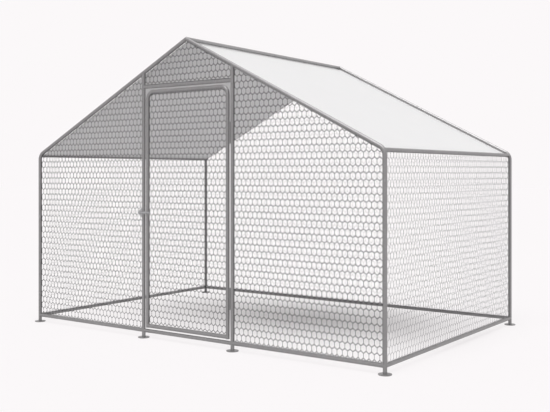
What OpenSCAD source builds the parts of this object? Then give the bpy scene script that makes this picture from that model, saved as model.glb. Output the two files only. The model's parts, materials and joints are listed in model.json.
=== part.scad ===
// Walk-in chicken run: a tube frame with a gable roof, hexagonal wire netting on
// every wall, a hinged door with a sliding bolt, and a stretched roof cover.
// Millimetres, Z up, front wall towards -Y. The origin is on the ground, at the
// middle of the plan.

/* [Run] */
// Overall width across the corner posts
run_w = 3000; // [2000:10:4000]
// Overall depth across the corner posts
run_d = 2000; // [1000:10:4000]
// Height at which a post axis meets its rafter axis
eave_h = 1279; // [1100:1:1500]
// Rise of the ridge above the eaves, between tube axes
ridge_rise = 757; // [650:1:1000]
// Height of the bottom rail axis
rail_h = 51; // [40:1:80]

/* [Frame tube] */
// Outside diameter of the frame tube
tube_od = 25; // [20:0.5:32]
// Wall of the frame tube
tube_wall = 1.2; // [0.8:0.1:2]
// Bend radius of the eave corners, to the tube axis
bend_r = 60; // [45:1:90]
// Leg of an apex piece, from the ridge axis to its seam
apex_leg = 70; // [50:1:120]
// Length of the reduced ends and stubs that the tubes slide over
plug_len = 40; // [32:1:70]

/* [Feet] */
// Diameter of a foot plate
foot_d = 80; // [60:1:120]
// Height of a foot plate under its post
foot_h = 9; // [6:0.5:14]
// Height of a foot plate at its rim
foot_rim_h = 6; // [3:0.5:6]
// Length of the peg that a foot plate has inside its post
foot_peg = 26; // [15:1:40]

/* [Doorway] */
// Distance from the middle of the front to each door post axis
door_post_x = 391; // [330:1:480]
// Distance from the rafters down to the rail over the door, at the door posts
head_drop = 102; // [70:1:200]
// Gap between the door and the latch post
latch_gap = 13.5; // [4:0.5:20]
// Gap between the door and the hinge post
hinge_gap = 13.5; // [13:0.5:24]
// Gap over the door
head_gap = 11; // [3:0.5:20]
// Gap under the door
sill_gap = 10.5; // [6:0.5:25]

/* [Door] */
// Outside diameter of the door tube
door_od = 25; // [18:0.5:28]
// Wall of the door tube
door_wall = 1.2; // [0.8:0.1:2]
// Bend radius of the upper door corners, to the tube axis
door_bend_r = 52; // [35:1:90]

/* [Hinges] */
// Distance from the top of the door to the middle of the upper hinge
hinge_drop = 310; // [200:1:500]
// Distance from the bottom of the door to the middle of the lower hinge
hinge_rise = 260; // [150:1:450]
// Length of a hinge
hinge_len = 140; // [90:1:180]
// Diameter of a hinge pin
hinge_pin_d = 8; // [6:0.5:9]
// Thickness of the weld pads that carry the knuckles
hinge_pad_t = 7; // [4:0.5:9]

/* [Latch] */
// Height of the bolt
latch_h = 867; // [700:1:1050]
// Diameter of the bolt
bolt_d = 10; // [8:0.5:12]
// Travel of the bolt from drawn back to home
bolt_travel = 18; // [16:0.5:26]
// Outside diameter of the bolt's guide and keeper
guide_d = 18; // [16:0.5:24]
// Length of the guide on the door
guide_len = 25; // [18:1:32]
// Length of the keeper on the post
keeper_len = 14; // [10:0.5:15]
// Diameter of the bolt's knob
knob_d = 16; // [14:0.5:20]
// Length of the bolt's knob
knob_len = 10; // [6:0.5:14]
// Reach of the keeper plate from the post axis
keeper_reach = 47; // [44:1:60]
// Height of the keeper plate where it meets the post
keeper_plate_h = 80; // [50:1:100]
// Thickness of the keeper plate
keeper_plate_t = 4; // [3:0.5:6]
// Diameter of the padlock hole in the keeper plate
padlock_d = 8; // [6:0.5:9]

/* [Netting] */
// Width of one gap of the netting
mesh_w = 35.5; // [25:0.5:50]
// Length of the twisted upright side of a gap
mesh_side = 27.5; // [15:0.5:40]
// Rise of the slanted sides of a gap
mesh_rise = 13.9; // [8:0.1:20]
// Real gaps, each way, that one drawn gap stands for
mesh_group = 7; // [6:1:12]
// Width of the drawn bars between gaps
bar_w = 10; // [6:0.5:16]
// Thickness of the drawn netting
net_t = 2; // [1:0.1:4]
// Width of the netting's selvedge
net_edge = 8; // [5:0.5:16]

/* [Roof cover] */
// Thickness of the roof cover
cover_t = 1; // [0.6:0.1:2]

/* [Screws] */
// Diameter of a joint screw
screw_d = 4.8; // [3.5:0.1:6]
// Distance of a joint screw from its seam
screw_in = 20; // [12:0.5:26]
// Width of a screw head across its flats
screw_flats = 8; // [6:0.5:10]
// Height of a screw head above its flange
screw_head = 4; // [2.5:0.5:6]
// Length of a screw under its flange
screw_len = 7; // [5:0.5:9]

/* [Hidden] */
$fn = 48;
// Radial clearance of a reduced end inside its tube
slip = 0.15;
// Clearance of a saddle-cut end from the tube that it meets
seat = 0.05;
// Clearance of an eave rail from the bend that it meets
eave_seat = 0.3;
// Depth by which a reduced end starts inside its bend
plug_sunk = 3;
// Step from the bore of a bend to the bore of its reduced ends
plug_step = 0.5;
// Radial clearance of a hinge pin and of the bolt in its guide
run_fit = 0.05;
// Clearance of a screw in its hole
screw_fit = 0.1;
// Radial clearance of the bolt in the keeper
keeper_fit = 0.6;
// Gap between the netting and the tubes
net_gap = 0.3;
// Gap between the roof cover and the tubes
cover_gap = 0.3;
// Gap between the two knuckles of a hinge
hinge_play = 0.5;
// Gap between a hinge knuckle and the tube that it doesn't sit on
knuckle_clear = 0.5;
// Gap between the drawn-back bolt and the keeper
bolt_rest = 2;
// Gap left between knob and guide with the bolt home
knob_rest = 0.5;
// Overrun of cuts
over = 1;
// Steps in the rounded corners of the netting and the keeper plate
arc_steps = 6;
// Flange of a screw head
flange_d = 11;
flange_t = 1;
// Radius of the keeper plate's tip
keeper_tip_r = 7;
// Chamfer at the lower rim of a foot plate
foot_chamfer = 1.5;
// Width of the flat ring round a post on its foot plate
foot_ring = 4;
// Distance of the keeper's mouth from the post axis
keeper_mouth = 11;
// Distance from the stile axis to the middle of the bolt's guide
guide_offset = 6;
// Width of the weld pads under guide and keeper
latch_pad = 12;

tube_r = tube_od / 2;
bore_r = tube_r - tube_wall;
plug_r = bore_r - slip;
plug_bore_r = plug_r - tube_wall;
half_w = run_w / 2 - tube_r;
half_d = run_d / 2 - tube_r;
slope = atan(ridge_rise / half_w);
ridge_h = eave_h + ridge_rise;
turn = 90 - slope;
bend_t = bend_r * tan(turn / 2);
bend_x = half_w - bend_r;
bend_z = eave_h - bend_t;
eave_x = bend_x + bend_r * cos(turn / 2);
eave_z = bend_z + bend_r * sin(turn / 2);
rafter_len = half_w / cos(slope);
rafter_end = rafter_len - bend_t;
post_meet_z = ridge_h - door_post_x * tan(slope);
head_h = post_meet_z - head_drop;

door_r = door_od / 2;
door_bore_r = door_r - door_wall;
stile_l = tube_r + latch_gap + door_r - door_post_x;
stile_r = door_post_x - tube_r - hinge_gap - door_r;
door_top = head_h - tube_r - head_gap - door_r;
door_bot = rail_h + tube_r + sill_gap + door_r;
hinge_hi = door_top + door_r - hinge_drop;
hinge_lo = door_bot - door_r + hinge_rise;
hinge_x = door_post_x - tube_r - hinge_gap / 2;
knuckle_r = hinge_gap / 2 - knuckle_clear;
knuckle_len = (hinge_len - hinge_play) / 2;
pin_r = hinge_pin_d / 2;

bolt_r = bolt_d / 2;
guide_r = guide_d / 2;
front_face = half_d + max(tube_r, door_r);
bolt_y = -front_face - guide_r;
guide_x = stile_l - guide_offset;
mouth_x = -door_post_x - keeper_mouth;
bolt_tip = mouth_x + bolt_rest;
knob_x = guide_x + guide_len / 2 + knob_rest + bolt_travel;

cover_top = tube_r + cover_gap;
cover_under = cover_top + cover_t;
cover_y = half_d - tube_r - cover_gap;
eave_along = eave_x * cos(slope) + (ridge_h - eave_z) * sin(slope);
eave_below = (ridge_h - eave_z) * cos(slope) - eave_x * sin(slope);
eave_miss = max(0, cover_top - eave_below, eave_below - cover_under);
cover_along = eave_along - sqrt(max(0, pow(cover_top, 2) - pow(eave_miss, 2)));

STEEL = [0.60, 0.60, 0.61];
WIRE = [0.42, 0.42, 0.43];
SHEET = [0.93, 0.93, 0.93];
ZINC = [0.70, 0.70, 0.71];

// Turns that point the local Z axis along one of the frame's directions
TO_LEFT = [0, -90, 0];
TO_RIGHT = [0, 90, 0];
TO_FRONT = [90, 0, 0];
TO_REAR = [-90, 0, 0];
TO_GROUND = [180, 0, 0];
function to_side(sx) = sx > 0 ? TO_RIGHT : TO_LEFT;
function to_inner_y(sy) = sy > 0 ? TO_FRONT : TO_REAR;
function down_rafter(sx) = [0, sx * (90 + slope), 0];

// Joints: a point, a turn along the tube, the screw's angle and its distance
function j_post_top(sx, sy) =
    [[sx * half_w, sy * half_d, bend_z], TO_GROUND, sy * (90 + 45 * sx), screw_in];
function j_rafter_low(sx, sy) =
    [[0, sy * half_d, ridge_h], down_rafter(sx), -90 * sy, rafter_end - screw_in];
function j_rafter_high(sx, sy) =
    [[0, sy * half_d, ridge_h], down_rafter(sx), -90 * sy, apex_leg + screw_in];
function j_eave(sx, sy) =
    [[sx * eave_x, sy * half_d, eave_z], to_inner_y(sy), -90 * sy, tube_r + screw_in];
function j_side_rail(sx, sy) =
    [[sx * half_w, sy * half_d, rail_h], to_inner_y(sy), 90 + 90 * sx, tube_r + screw_in];
function j_corner_rail(sx, sy) =
    [[sx * half_w, sy * half_d, rail_h], to_side(-sx), -90 * sy, tube_r + screw_in];
function j_door_outer(sx) = [[sx * door_post_x, -half_d, rail_h], to_side(sx), 90, tube_r + screw_in];
function j_sill(sx) = [[sx * door_post_x, -half_d, rail_h], to_side(-sx), 90, tube_r + screw_in];
function j_head(sx) = [[sx * door_post_x, -half_d, head_h], to_side(-sx), 90, tube_r + screw_in];
function j_ridge(sy) = [[0, sy * half_d, ridge_h], to_inner_y(sy), 180, tube_r + screw_in];
function j_door_top(sx) =
    [[sx * door_post_x, -half_d, post_meet_z], TO_GROUND, -90, tube_r / cos(slope) + screw_in];

SIDES = [-1, 1];
JOINTS = concat(
    [for (sx = SIDES, sy = SIDES) j_post_top(sx, sy)],
    [for (sx = SIDES, sy = SIDES) j_rafter_low(sx, sy)],
    [for (sx = SIDES, sy = SIDES) j_rafter_high(sx, sy)],
    [for (sx = SIDES, sy = SIDES) j_eave(sx, sy)],
    [for (sx = SIDES, sy = SIDES) j_side_rail(sx, sy)],
    [for (sx = SIDES, sy = SIDES) j_corner_rail(sx, sy)],
    [for (sx = SIDES) j_door_outer(sx)],
    [for (sx = SIDES) j_sill(sx)],
    [for (sx = SIDES) j_head(sx)],
    [for (sx = SIDES) j_door_top(sx)],
    [for (sy = SIDES) j_ridge(sy)]
);

// Shared shapes

module at_joint(j) {
    translate(j[0]) rotate(j[1]) rotate([0, 0, j[2]]) translate([0, 0, j[3]]) children();
}

module screw_holes(joints) {
    for (j = joints)
        at_joint(j) rotate(TO_RIGHT) cylinder(r = screw_d / 2 + screw_fit, h = tube_r + over);
}

module stub() {
    cylinder(r = plug_r, h = tube_r + plug_len);
}

module stub_bore() {
    translate([0, 0, tube_r]) cylinder(r = plug_bore_r, h = plug_len + over);
}

// A rail of length len along local Z between two tubes of radius r_end along local X
module rail(len, r, r_in, r_end) {
    difference() {
        cylinder(r = r, h = len);
        translate([0, 0, -over]) cylinder(r = r_in, h = len + 2 * over);
        for (z = [0, len])
            translate([0, 0, z]) rotate(TO_RIGHT)
                cylinder(r = r_end + seat, h = 2 * (r_end + over), center = true);
    }
}

module frame_rail(len) {
    rail(len, tube_r, bore_r, tube_r);
}

// Cut that mitres a bottom rail at a corner post against the rail along the other wall
module mitre(sx, sy, along_x) {
    translate([sx * half_w, sy * half_d, rail_h - tube_od]) rotate([0, 0, atan2(-sy, -sx)])
        mirror([0, sx * sy * along_x > 0 ? 0 : 1, 0]) translate([0, -seat, 0]) cube(2 * tube_od);
}

// Corner posts, door posts and feet

module corner_post(sx, sy) {
    color(STEEL) difference() {
        union() {
            translate([sx * half_w, sy * half_d, foot_h]) cylinder(r = tube_r, h = bend_z - foot_h);
            translate([sx * half_w, sy * half_d, rail_h]) rotate(to_side(-sx)) stub();
            translate([sx * half_w, sy * half_d, rail_h]) rotate(to_inner_y(sy)) stub();
        }
        translate([sx * half_w, sy * half_d, foot_h - over])
            cylinder(r = bore_r, h = bend_z - foot_h + 2 * over);
        translate([sx * half_w, sy * half_d, rail_h]) rotate(to_side(-sx)) stub_bore();
        translate([sx * half_w, sy * half_d, rail_h]) rotate(to_inner_y(sy)) stub_bore();
        screw_holes([j_post_top(sx, sy), j_side_rail(sx, sy), j_corner_rail(sx, sy)]);
    }
}

module door_post(sx) {
    color(STEEL) difference() {
        union() {
            translate([sx * door_post_x, -half_d, foot_h])
                cylinder(r = tube_r, h = post_meet_z - foot_h);
            translate([sx * door_post_x, -half_d, rail_h]) rotate(TO_RIGHT) stub();
            translate([sx * door_post_x, -half_d, rail_h]) rotate(TO_LEFT) stub();
            translate([sx * door_post_x, -half_d, head_h]) rotate(to_side(-sx)) stub();
        }
        translate([sx * door_post_x, -half_d, foot_h - over])
            cylinder(r = bore_r, h = post_meet_z - foot_h + over);
        translate([sx * door_post_x, -half_d, rail_h]) rotate(TO_RIGHT) stub_bore();
        translate([sx * door_post_x, -half_d, rail_h]) rotate(TO_LEFT) stub_bore();
        translate([sx * door_post_x, -half_d, head_h]) rotate(to_side(-sx)) stub_bore();
        translate([0, -half_d, ridge_h]) rotate(down_rafter(sx))
            translate([0, 0, apex_leg]) cylinder(r = tube_r + seat, h = rafter_end - apex_leg);
        screw_holes([j_door_outer(sx), j_sill(sx), j_head(sx), j_door_top(sx)]);
    }
}

module foot(x, y) {
    color(STEEL) translate([x, y, 0]) rotate_extrude() polygon([
        [0, 0],
        [foot_d / 2 - foot_chamfer, 0],
        [foot_d / 2, foot_chamfer],
        [foot_d / 2, foot_rim_h],
        [tube_r + foot_ring, foot_h],
        [plug_r, foot_h],
        [plug_r, foot_h + foot_peg],
        [0, foot_h + foot_peg]
    ]);
}

// Eave corners: bends with reduced ends for post and rafter, and a stub for the eave rail

// A place on the bend's axis, at an angle from the top of the post
module at_bend(a) {
    rotate([0, -a, 0]) translate([bend_r, 0, 0]) children();
}

module bend(r) {
    rotate(TO_FRONT) rotate_extrude(angle = turn) translate([bend_r, 0]) circle(r = r);
}

module bend_plug(r, len) {
    translate([0, 0, -plug_sunk]) cylinder(r = r, h = plug_sunk + len);
}

module at_eave() {
    at_bend(turn / 2) rotate(TO_REAR) rotate([0, 0, 90]) children();
}

module at_corner(sx, sy) {
    mirror([sx > 0 ? 0 : 1, 0, 0]) mirror([0, sy > 0 ? 1 : 0, 0])
        translate([bend_x, -half_d, bend_z]) children();
}

module elbow(sx, sy) {
    color(STEEL) difference() {
        at_corner(sx, sy) difference() {
            union() {
                bend(tube_r);
                at_bend(0) rotate(TO_GROUND) bend_plug(plug_r, plug_len);
                at_bend(turn) bend_plug(plug_r, plug_len);
                at_eave() stub();
            }
            bend(plug_bore_r);
            at_bend(0) rotate(TO_GROUND) bend_plug(plug_bore_r - plug_step, plug_len + over);
            at_bend(turn) bend_plug(plug_bore_r - plug_step, plug_len + over);
            at_eave() stub_bore();
        }
        screw_holes([j_post_top(sx, sy), j_rafter_low(sx, sy), j_eave(sx, sy)]);
    }
}

module eave_rail(sx) {
    color(STEEL) difference() {
        at_corner(sx, -1) at_eave() difference() {
            cylinder(r = tube_r, h = 2 * half_d);
            translate([0, 0, -over]) cylinder(r = bore_r, h = 2 * (half_d + over));
        }
        for (sy = SIDES)
            at_corner(sx, sy) bend(tube_r + eave_seat);
        screw_holes([for (sy = SIDES) j_eave(sx, sy)]);
    }
}

// Rafters, apex pieces and ridge

module rafter(sx, sy) {
    color(STEEL) difference() {
        union() {
            translate([0, sy * half_d, ridge_h]) rotate(down_rafter(sx))
                translate([0, 0, apex_leg]) cylinder(r = tube_r, h = rafter_end - apex_leg);
            if (sy < 0)
                translate([sx * door_post_x, -half_d, post_meet_z]) rotate(TO_GROUND)
                    cylinder(r = plug_r, h = tube_r / cos(slope) + plug_len);
        }
        translate([0, sy * half_d, ridge_h]) rotate(down_rafter(sx))
            translate([0, 0, apex_leg - over])
                cylinder(r = bore_r, h = rafter_end - apex_leg + 2 * over);
        if (sy < 0)
            translate([sx * door_post_x, -half_d, post_meet_z]) rotate(TO_GROUND)
                translate([0, 0, tube_r / cos(slope)]) cylinder(r = plug_bore_r, h = plug_len + over);
        screw_holes([j_rafter_low(sx, sy), j_rafter_high(sx, sy)]);
        if (sy < 0)
            screw_holes([j_door_top(sx)]);
    }
}

// Solid of radius r along both legs of an apex, mitred on the middle plane
module apex_path(r, leg) {
    reach = leg + tube_od;
    for (sx = SIDES)
        intersection() {
            rotate(down_rafter(sx)) translate([0, 0, -tube_od]) cylinder(r = r, h = leg + tube_od);
            translate([sx > 0 ? 0 : -reach, -reach, -reach]) cube([reach, 2 * reach, 2 * reach]);
        }
}

module apex(sy) {
    color(STEEL) difference() {
        translate([0, sy * half_d, ridge_h]) difference() {
            union() {
                apex_path(tube_r, apex_leg);
                apex_path(plug_r, apex_leg + plug_len);
                rotate(to_inner_y(sy)) stub();
            }
            apex_path(plug_bore_r, apex_leg + plug_len + over);
            rotate(to_inner_y(sy)) stub_bore();
        }
        screw_holes([j_rafter_high(-1, sy), j_rafter_high(1, sy), j_ridge(sy)]);
    }
}

module ridge_tube() {
    color(STEEL) difference() {
        translate([0, -half_d, ridge_h]) rotate(TO_REAR) cylinder(r = tube_r, h = 2 * half_d);
        translate([0, -half_d - over, ridge_h]) rotate(TO_REAR)
            cylinder(r = bore_r, h = 2 * (half_d + over));
        for (sy = SIDES)
            translate([0, sy * half_d, ridge_h]) apex_path(tube_r + seat, apex_leg);
        screw_holes([for (sy = SIDES) j_ridge(sy)]);
    }
}

// Bottom rails and the rail over the door

module side_rail(sx) {
    color(STEEL) difference() {
        translate([sx * half_w, -half_d, rail_h]) rotate(TO_REAR) rotate([0, 0, 90])
            frame_rail(2 * half_d);
        for (sy = SIDES)
            mitre(sx, sy, -1);
        screw_holes([for (sy = SIDES) j_side_rail(sx, sy)]);
    }
}

module front_rail(sx) {
    color(STEEL) difference() {
        translate([sx * door_post_x, -half_d, rail_h]) rotate(to_side(sx))
            frame_rail(half_w - door_post_x);
        mitre(sx, -1, 1);
        screw_holes([j_door_outer(sx), j_corner_rail(sx, -1)]);
    }
}

module bottom_rail_rear() {
    color(STEEL) difference() {
        translate([-half_w, half_d, rail_h]) rotate(TO_RIGHT) frame_rail(2 * half_w);
        for (sx = SIDES)
            mitre(sx, 1, 1);
        screw_holes([for (sx = SIDES) j_corner_rail(sx, 1)]);
    }
}

module door_sill() {
    color(STEEL) difference() {
        translate([-door_post_x, -half_d, rail_h]) rotate(TO_RIGHT) frame_rail(2 * door_post_x);
        screw_holes([for (sx = SIDES) j_sill(sx)]);
    }
}

module door_head_rail() {
    color(STEEL) difference() {
        translate([-door_post_x, -half_d, head_h]) rotate(TO_RIGHT) frame_rail(2 * door_post_x);
        screw_holes([for (sx = SIDES) j_head(sx)]);
    }
}

// Netting: flat sheets between the tubes, with one drawn gap for a block of real ones

gap_w = mesh_group * mesh_w;
gap_side = mesh_group * mesh_side;
gap_rise = mesh_group * mesh_rise;
row_h = gap_side + gap_rise;

// Lower edge of a rafter at distance x from the middle, with a gap g to the tube
function under_rafter(x, g) = ridge_h - abs(x) * tan(slope) - (tube_r + g) / cos(slope);
function eave_arc(g) = [for (i = [0 : arc_steps])
    [bend_x + (bend_r - tube_r - g) * cos(turn * i / arc_steps),
     bend_z + (bend_r - tube_r - g) * sin(turn * i / arc_steps)]];
function flip(points) = [for (i = [len(points) - 1 : -1 : 0]) [-points[i][0], points[i][1]]];

function front_outline(g) = concat(
    [[door_post_x + tube_r + g, rail_h + tube_r + g], [half_w - tube_r - g, rail_h + tube_r + g]],
    eave_arc(g),
    [[door_post_x + tube_r + g, under_rafter(door_post_x + tube_r + g, g)]]);
function gable_outline(g) = [
    [g + tube_r - door_post_x, head_h + tube_r + g],
    [door_post_x - tube_r - g, head_h + tube_r + g],
    [door_post_x - tube_r - g, under_rafter(door_post_x - tube_r - g, g)],
    [0, under_rafter(0, g)],
    [g + tube_r - door_post_x, under_rafter(door_post_x - tube_r - g, g)]];
function rear_outline(g) = concat(
    [[g + tube_r - half_w, rail_h + tube_r + g], [half_w - tube_r - g, rail_h + tube_r + g]],
    eave_arc(g),
    [[0, under_rafter(0, g)]],
    flip(eave_arc(g)));
net_in = half_w - net_t / 2 - eave_x;
function side_top(g) = eave_z - sqrt(max(0, pow(tube_r + g, 2) - pow(net_in, 2)));
function side_outline(g) = [
    [g + tube_r - half_d, rail_h + tube_r + g],
    [half_d - tube_r - g, rail_h + tube_r + g],
    [half_d - tube_r - g, side_top(g)],
    [g + tube_r - half_d, side_top(g)]];
function door_arc(g) = [for (i = [0 : arc_steps])
    [stile_r - door_bend_r + (door_bend_r - door_r - g) * cos(90 * i / arc_steps),
     door_top - door_bend_r + (door_bend_r - door_r - g) * sin(90 * i / arc_steps)]];
function door_outline(g) = concat(
    [[stile_l + door_r + g, door_bot + door_r + g], [stile_r - door_r - g, door_bot + door_r + g]],
    door_arc(g),
    [for (p = flip(door_arc(g))) [p[0] + stile_l + stile_r, p[1]]]);

// One gap, drawn in by half a bar
module net_gap_shape() {
    half = gap_w / 2;
    tilt = sqrt(pow(half, 2) + pow(gap_rise, 2));
    tip = gap_side / 2 + gap_rise - bar_w / 2 * tilt / half;
    shoulder = gap_side / 2 + bar_w / 2 * (gap_rise - tilt) / half;
    edge = half - bar_w / 2;
    polygon([
        [0, tip], [-edge, shoulder], [-edge, -shoulder],
        [0, -tip], [edge, -shoulder], [edge, shoulder]]);
}

module net_gaps(low, high) {
    cols = ceil((high[0] - low[0]) / gap_w / 2);
    rows = ceil((high[1] - low[1]) / row_h / 2);
    for (row = [-rows : rows], col = [-cols : cols])
        translate([(low[0] + high[0]) / 2 + (col + (row % 2 == 0 ? 0 : 0.5)) * gap_w,
                   (low[1] + high[1]) / 2 + row * row_h])
            net_gap_shape();
}

function low_corner(p) = [min([for (q = p) q[0]]), min([for (q = p) q[1]])];
function high_corner(p) = [max([for (q = p) q[0]]), max([for (q = p) q[1]])];

module net_sheet(outline, inner) {
    color(WIRE) linear_extrude(height = net_t, center = true) difference() {
        polygon(outline);
        intersection() {
            polygon(inner);
            net_gaps(low_corner(inner), high_corner(inner));
        }
    }
}

module upright_front() {
    rotate(TO_FRONT) children();
}

module net_front(sx) {
    translate([0, -half_d, 0]) mirror([sx > 0 ? 0 : 1, 0, 0]) upright_front()
        net_sheet(front_outline(net_gap), front_outline(net_gap + net_edge));
}

module net_gable() {
    translate([0, -half_d, 0]) upright_front()
        net_sheet(gable_outline(net_gap), gable_outline(net_gap + net_edge));
}

module net_rear() {
    translate([0, half_d, 0]) upright_front()
        net_sheet(rear_outline(net_gap), rear_outline(net_gap + net_edge));
}

module net_side(sx) {
    translate([sx * half_w, 0, 0]) rotate([0, 0, 90]) upright_front()
        net_sheet(side_outline(net_gap), side_outline(net_gap + net_edge));
}

module door_net() {
    translate([0, -half_d, 0]) upright_front()
        net_sheet(door_outline(net_gap), door_outline(net_gap + net_edge));
}

// Roof cover: one sheet stretched under the rafters and the ridge, between the eave rails

function cover_edge(sx, below) = [
    sx * (cover_along * cos(slope) - below * sin(slope)),
    ridge_h - cover_along * sin(slope) - below * cos(slope)];

module roof_cover() {
    color(SHEET) rotate(TO_FRONT) linear_extrude(height = 2 * cover_y, center = true) polygon([
        cover_edge(-1, cover_top),
        cover_edge(-1, cover_under),
        [0, ridge_h - cover_under / cos(slope)],
        cover_edge(1, cover_under),
        cover_edge(1, cover_top),
        [0, ridge_h - cover_top / cos(slope)]
    ]);
}

// Screws: hexagon heads with a flange, on the inner side of each joint

module joint_screws() {
    color(ZINC) for (j = JOINTS)
        at_joint(j) translate([tube_r, 0, 0]) rotate(TO_RIGHT) union() {
            cylinder(d = flange_d, h = flange_t);
            cylinder(d = screw_flats / cos(30), h = flange_t + screw_head, $fn = 6);
            translate([0, 0, -screw_len]) cylinder(d = screw_d, h = screw_len + flange_t);
        }
}

// Hinges: weld-on knuckles, the lower on the post and the upper on the door

module knuckle(reach, tube_radius, turn_z) {
    difference() {
        union() {
            cylinder(r = knuckle_r, h = knuckle_len);
            rotate([0, 0, turn_z]) translate([0, -hinge_pad_t / 2, 0])
                cube([reach, hinge_pad_t, knuckle_len]);
        }
        rotate([0, 0, turn_z]) translate([reach, 0, -over])
            cylinder(r = tube_radius + seat, h = knuckle_len + 2 * over);
        translate([0, 0, -over]) cylinder(r = pin_r + run_fit, h = knuckle_len + 2 * over);
    }
}

module post_hinge(z) {
    color(STEEL) translate([hinge_x, -half_d, z - hinge_len / 2])
        knuckle(door_post_x - hinge_x, tube_r, 0);
}

module door_hinge(z) {
    color(STEEL) translate([hinge_x, -half_d, z + hinge_len / 2 - knuckle_len])
        knuckle(hinge_x - stile_r, door_r, 180);
}

module hinge_pins() {
    color(ZINC) for (z = [hinge_lo, hinge_hi])
        translate([hinge_x, -half_d, z]) cylinder(r = pin_r, h = hinge_len, center = true);
}

// Door: a bent tube with a straight bottom rail

module door_path(r, drop) {
    for (x = [stile_l, stile_r])
        translate([x, 0, door_bot - door_r - drop])
            cylinder(r = r, h = door_top - door_bend_r - door_bot + door_r + drop);
    translate([stile_l + door_bend_r, 0, door_top]) rotate(TO_RIGHT)
        cylinder(r = r, h = stile_r - stile_l - 2 * door_bend_r);
    translate([stile_r - door_bend_r, 0, door_top - door_bend_r]) rotate(TO_FRONT)
        rotate_extrude(angle = 90) translate([door_bend_r, 0]) circle(r = r);
    translate([stile_l + door_bend_r, 0, door_top - door_bend_r]) rotate(TO_FRONT) rotate([0, 0, 90])
        rotate_extrude(angle = 90) translate([door_bend_r, 0]) circle(r = r);
}

module door_frame() {
    color(STEEL) translate([0, -half_d, 0]) difference() {
        door_path(door_r, 0);
        door_path(door_bore_r, over);
    }
}

module door_bottom_rail() {
    color(STEEL) translate([stile_l, -half_d, door_bot]) rotate(TO_RIGHT)
        rail(stile_r - stile_l, door_r, door_bore_r, door_r);
}

// Latch: a bolt that slides in a guide on the door, and a keeper on the post

module latch_guide() {
    color(STEEL) difference() {
        union() {
            translate([guide_x - guide_len / 2, bolt_y, latch_h]) rotate(TO_RIGHT)
                cylinder(r = guide_r, h = guide_len);
            translate([stile_l - latch_pad / 2, bolt_y, latch_h - latch_pad / 2])
                cube([latch_pad, -half_d - bolt_y, latch_pad]);
        }
        translate([stile_l, -half_d, latch_h])
            cylinder(r = door_r + seat, h = 2 * guide_d, center = true);
        translate([guide_x - guide_len / 2 - latch_pad, bolt_y, latch_h]) rotate(TO_RIGHT)
            cylinder(r = bolt_r + run_fit, h = guide_len + 2 * latch_pad);
    }
}

// Plate outline: a triangle with a round tip, reaching from the post axis
keeper_flank = atan((keeper_plate_h / 2 - keeper_tip_r) / keeper_reach);
function keeper_outline() = concat(
    [[0, -keeper_plate_h / 2], [0, keeper_plate_h / 2]],
    [for (i = [0 : arc_steps])
        let (a = 90 + keeper_flank + (180 - 2 * keeper_flank) * i / arc_steps)
        [keeper_tip_r - keeper_reach + keeper_tip_r * cos(a), keeper_tip_r * sin(a)]]);

module latch_keeper() {
    color(STEEL) difference() {
        union() {
            translate([-door_post_x, -front_face + keeper_plate_t, latch_h]) rotate(TO_FRONT)
                linear_extrude(height = keeper_plate_t) difference() {
                    polygon(keeper_outline());
                    translate([padlock_d - keeper_reach + keeper_tip_r, 0]) circle(d = padlock_d);
                }
            translate([mouth_x - keeper_len, bolt_y, latch_h]) rotate(TO_RIGHT)
                cylinder(r = guide_r, h = keeper_len);
            translate([mouth_x - keeper_len, bolt_y, latch_h - latch_pad / 2])
                cube([keeper_len, -front_face - bolt_y, latch_pad]);
        }
        translate([-door_post_x, -half_d, latch_h])
            cylinder(r = tube_r + seat, h = 2 * keeper_plate_h, center = true);
        translate([mouth_x - keeper_len - over, bolt_y, latch_h]) rotate(TO_RIGHT)
            cylinder(r = bolt_r + keeper_fit, h = keeper_len + 2 * over);
    }
}

module latch_bolt() {
    color(ZINC) translate([0, bolt_y, latch_h]) {
        translate([bolt_tip, 0, 0]) rotate(TO_RIGHT)
            cylinder(r = bolt_r, h = knob_x - bolt_tip + knob_len / 2);
        translate([knob_x, 0, 0]) rotate(TO_RIGHT) cylinder(d = knob_d, h = knob_len);
    }
}

// Named sub-parts

module post_front_left() { corner_post(-1, -1); }
module post_front_right() { corner_post(1, -1); }
module post_rear_left() { corner_post(-1, 1); }
module post_rear_right() { corner_post(1, 1); }
module door_post_left() { door_post(-1); }
module door_post_right() { door_post(1); }
module foot_front_left() { foot(-half_w, -half_d); }
module foot_front_right() { foot(half_w, -half_d); }
module foot_rear_left() { foot(-half_w, half_d); }
module foot_rear_right() { foot(half_w, half_d); }
module foot_door_left() { foot(-door_post_x, -half_d); }
module foot_door_right() { foot(door_post_x, -half_d); }
module elbow_front_left() { elbow(-1, -1); }
module elbow_front_right() { elbow(1, -1); }
module elbow_rear_left() { elbow(-1, 1); }
module elbow_rear_right() { elbow(1, 1); }
module rafter_front_left() { rafter(-1, -1); }
module rafter_front_right() { rafter(1, -1); }
module rafter_rear_left() { rafter(-1, 1); }
module rafter_rear_right() { rafter(1, 1); }
module apex_front() { apex(-1); }
module apex_rear() { apex(1); }
module eave_rail_left() { eave_rail(-1); }
module eave_rail_right() { eave_rail(1); }
module bottom_rail_front_left() { front_rail(-1); }
module bottom_rail_front_right() { front_rail(1); }
module bottom_rail_left() { side_rail(-1); }
module bottom_rail_right() { side_rail(1); }
module net_front_left() { net_front(-1); }
module net_front_right() { net_front(1); }
module net_left() { net_side(-1); }
module net_right() { net_side(1); }
module post_hinge_upper() { post_hinge(hinge_hi); }
module post_hinge_lower() { post_hinge(hinge_lo); }
module door_hinge_upper() { door_hinge(hinge_hi); }
module door_hinge_lower() { door_hinge(hinge_lo); }

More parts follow.
